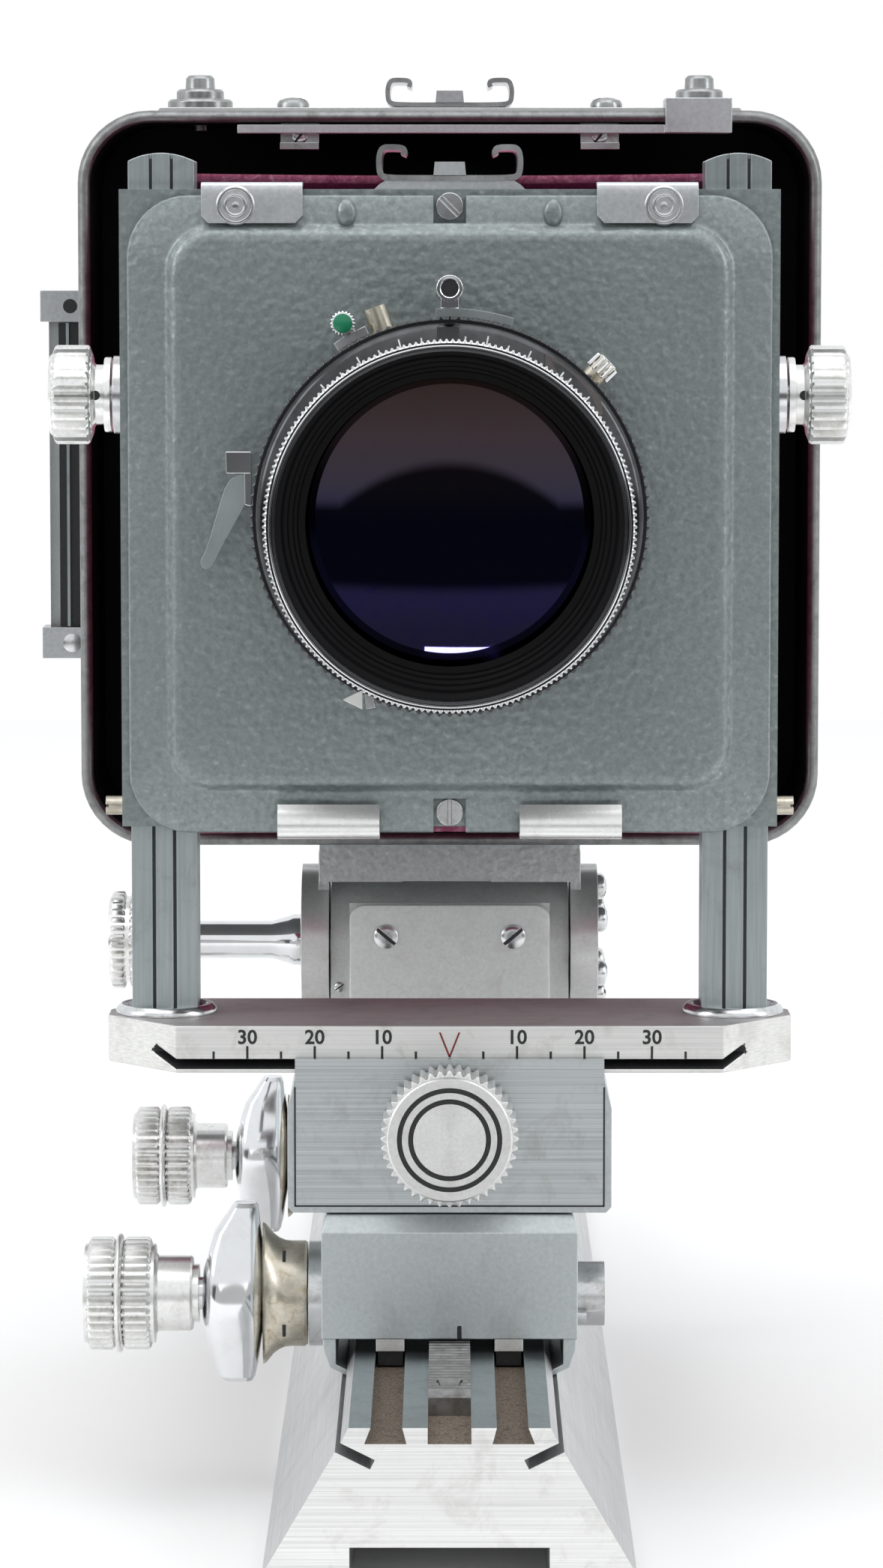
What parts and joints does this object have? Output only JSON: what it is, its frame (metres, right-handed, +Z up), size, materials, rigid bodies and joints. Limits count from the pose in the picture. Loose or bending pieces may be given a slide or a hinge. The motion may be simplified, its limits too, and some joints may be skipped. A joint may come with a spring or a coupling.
{
  "type": "monorail view camera",
  "caption": "Monorail view camera: front and rear standards on a racked rail, pleated bellows, leaf shutter with lens, sliding glass holder at the back.",
  "frame": {"origin": "mouth of the tripod thread, in the plane of the rail's underside", "axes": "+X to the right seen from the lens side, +Y from the lens towards the back along the rail, +Z up"},
  "size_m": [0.1331, 0.32, 0.2193],
  "materials": {
    "satin_aluminium": "satin machined",
    "brushed_aluminium": "brushed grain",
    "anodised_grey": "drawn, grey-blue anodised",
    "hammertone": "hammertone lacquer",
    "polished_chrome": "polished",
    "bright_steel": "fine machined",
    "tarnished_brass": "worn nickel over brass",
    "black_lacquer": "semi-matt black",
    "shell_grey": "satin grey outside, black inside",
    "coated_glass": "coated, polished",
    "bellows_leather": "pleated red leather",
    "green_enamel": "gloss enamel tip"
  },
  "bodies": {
    "rail": {"rail": "brushed_aluminium", "rail_rack": "bright_steel", "rail_screws": "bright_steel", "tripod_block": "bright_steel", "tripod_bush": "tarnished_brass", "bellows": "bellows_leather"},
    "front_carriage": {"front_carriage": "satin_aluminium", "front_guide_shoes": "bright_steel", "front_shaft_bearings": "satin_aluminium"},
    "front_lock": {"front_lock_lever": "polished_chrome", "front_lock_collar": "tarnished_brass"},
    "front_knob": {"front_pinion_shaft": "bright_steel", "front_focus_knob": "satin_aluminium"},
    "front_swivel": {"front_cradle": "brushed_aluminium", "front_shift_block": "brushed_aluminium"},
    "shift_lock": {"shift_lock_knob": "satin_aluminium"},
    "front_bar": {"base_bar": "brushed_aluminium", "post_left": "anodised_grey", "post_right": "anodised_grey", "post_rings": "bright_steel"},
    "front_standard": {"lens_frame": "hammertone", "lensboard": "hammertone", "board_hooks": "bright_steel", "frame_fittings": "bright_steel", "front_shoe": "bright_steel", "shutter_housing": "black_lacquer", "retaining_ring": "bright_steel", "front_lens_cell": "black_lacquer", "front_lens_glass": "coated_glass", "filter_ring": "polished_chrome", "rear_lens_cell": "black_lacquer", "rear_lens_glass": "coated_glass", "iris_blades": "black_lacquer"},
    "latch_left": {"latch_left": "bright_steel"},
    "latch_right": {"latch_right": "bright_steel"},
    "rise_knob_left": {"rise_knob_left": "satin_aluminium"},
    "rise_knob_right": {"rise_knob_right": "satin_aluminium"},
    "speed_ring": {"speed_ring": "black_lacquer"},
    "aperture_lever": {"aperture_lever": "black_lacquer"},
    "cocking_lever": {"cocking_lever": "polished_chrome"},
    "release_lever": {"release_lever": "polished_chrome"},
    "sync_lever": {"sync_lever": "green_enamel"},
    "rear_carriage": {"rear_carriage": "satin_aluminium", "rear_guide_shoes": "bright_steel", "rear_shaft_bearings": "satin_aluminium"},
    "rear_lock": {"rear_lock_lever": "polished_chrome", "rear_lock_collar": "tarnished_brass"},
    "rear_knob": {"rear_pinion_shaft": "bright_steel", "rear_focus_knob": "satin_aluminium"},
    "rear_swivel": {"tilt_box": "satin_aluminium"},
    "tilt_lock": {"tilt_lock_knob": "satin_aluminium"},
    "rear_standard": {"tilt_yoke": "satin_aluminium", "rear_shell": "shell_grey", "rear_screws": "bright_steel", "rear_shoe": "bright_steel", "back_frame": "black_lacquer"},
    "back_lock_left": {"back_lock_left": "satin_aluminium"},
    "back_lock_right": {"back_lock_right": "satin_aluminium"},
    "rim_slide": {"rim_slide": "satin_aluminium"},
    "glass_holder": {"glass_holder": "satin_aluminium"}
  },
  "joints": [
    {"name": "front_focus", "type": "slide", "parent": "rail", "child": "front_carriage", "axis": [0, 1, 0], "range_m": [-0.048, 0.012], "deforming": ["bellows"]},
    {"name": "front_lock_turn", "type": "hinge", "parent": "front_carriage", "child": "front_lock", "pos_m": [-0.03, -0.085, 0.03186], "axis": [1, 0, 0], "range_deg": [0, 60]},
    {"name": "front_knob_turn", "type": "hinge", "parent": "front_carriage", "child": "front_knob", "pos_m": [-0.05, -0.085, 0.03186], "axis": [1, 0, 0], "range_deg": [-600, 600]},
    {"name": "front_swing", "type": "hinge", "parent": "front_carriage", "child": "front_swivel", "pos_m": [0, -0.085, 0.0471], "axis": [0, 0, 1], "range_deg": [-15, 15]},
    {"name": "shift_lock_turn", "type": "hinge", "parent": "front_swivel", "child": "shift_lock", "pos_m": [0, -0.105, 0.0597], "axis": [0, 1, 0], "range_deg": [-120, 0]},
    {"name": "front_shift", "type": "slide", "parent": "front_swivel", "child": "front_bar", "axis": [1, 0, 0], "range_m": [-0.03, 0.03]},
    {"name": "front_rise", "type": "slide", "parent": "front_bar", "child": "front_standard", "axis": [0, 0, 1], "range_m": [-0.025, 0.028]},
    {"name": "latch_left_lift", "type": "slide", "parent": "front_standard", "child": "latch_left", "axis": [0, 0, 1], "range_m": [0, 0.005]},
    {"name": "latch_right_lift", "type": "slide", "parent": "front_standard", "child": "latch_right", "axis": [0, 0, 1], "range_m": [0, 0.005]},
    {"name": "rise_knob_left_turn", "type": "hinge", "parent": "front_standard", "child": "rise_knob_left", "pos_m": [-0.055, -0.085, 0.168], "axis": [1, 0, 0], "range_deg": [0, 120]},
    {"name": "rise_knob_right_turn", "type": "hinge", "parent": "front_standard", "child": "rise_knob_right", "pos_m": [0.055, -0.085, 0.168], "axis": [1, 0, 0], "range_deg": [0, 120]},
    {"name": "speed_ring_turn", "type": "hinge", "parent": "front_standard", "child": "speed_ring", "pos_m": [0, -0.115, 0.151], "axis": [0, 1, 0], "range_deg": [-40, 60]},
    {"name": "aperture_turn", "type": "hinge", "parent": "front_standard", "child": "aperture_lever", "pos_m": [0, -0.11, 0.151], "axis": [0, 1, 0], "range_deg": [0, 45]},
    {"name": "cocking_turn", "type": "hinge", "parent": "front_standard", "child": "cocking_lever", "pos_m": [0, -0.11, 0.151], "axis": [0, 1, 0], "range_deg": [0, 32], "stiffness_Nm_per_rad": 0.02},
    {"name": "release_turn", "type": "hinge", "parent": "front_standard", "child": "release_lever", "pos_m": [0, -0.104, 0.151], "axis": [0, 1, 0], "range_deg": [-10, 0], "stiffness_Nm_per_rad": 0.05},
    {"name": "sync_turn", "type": "hinge", "parent": "front_standard", "child": "sync_lever", "pos_m": [0, -0.106, 0.151], "axis": [0, 1, 0], "range_deg": [-20, 0]},
    {"name": "rear_focus", "type": "slide", "parent": "rail", "child": "rear_carriage", "axis": [0, 1, 0], "range_m": [-0.008, 0.085]},
    {"name": "rear_lock_turn", "type": "hinge", "parent": "rear_carriage", "child": "rear_lock", "pos_m": [-0.03, 0.04, 0.03186], "axis": [1, 0, 0], "range_deg": [0, 60]},
    {"name": "rear_knob_turn", "type": "hinge", "parent": "rear_carriage", "child": "rear_knob", "pos_m": [-0.05, 0.04, 0.03186], "axis": [1, 0, 0], "range_deg": [-1050, 1050]},
    {"name": "rear_swing", "type": "hinge", "parent": "rear_carriage", "child": "rear_swivel", "pos_m": [0, 0.04, 0.0471], "axis": [0, 0, 1], "range_deg": [-15, 15]},
    {"name": "tilt_lock_turn", "type": "hinge", "parent": "rear_swivel", "child": "tilt_lock", "pos_m": [-0.05, 0.04, 0.07], "axis": [1, 0, 0], "range_deg": [0, 120]},
    {"name": "rear_tilt", "type": "hinge", "parent": "rear_swivel", "child": "rear_standard", "pos_m": [0, 0.04, 0.07], "axis": [1, 0, 0], "range_deg": [-10, 10]},
    {"name": "back_lock_left_turn", "type": "hinge", "parent": "rear_standard", "child": "back_lock_left", "pos_m": [-0.0423, 0.028, 0.214], "axis": [0, 0, 1], "range_deg": [0, 90]},
    {"name": "back_lock_right_turn", "type": "hinge", "parent": "rear_standard", "child": "back_lock_right", "pos_m": [0.0423, 0.028, 0.214], "axis": [0, 0, 1], "range_deg": [0, 90]},
    {"name": "rim_slide_move", "type": "slide", "parent": "rear_standard", "child": "rim_slide", "axis": [1, 0, 0], "range_m": [-0.008, 0]},
    {"name": "holder_slide", "type": "slide", "parent": "rear_standard", "child": "glass_holder", "axis": [-1, 0, 0], "range_m": [0, 0.1]}
  ],
  "couplings": [
    {"joint": "front_knob_turn", "follows": "front_focus", "rad_per_m": -208.33},
    {"joint": "rear_knob_turn", "follows": "rear_focus", "rad_per_m": -208.33}
  ]
}
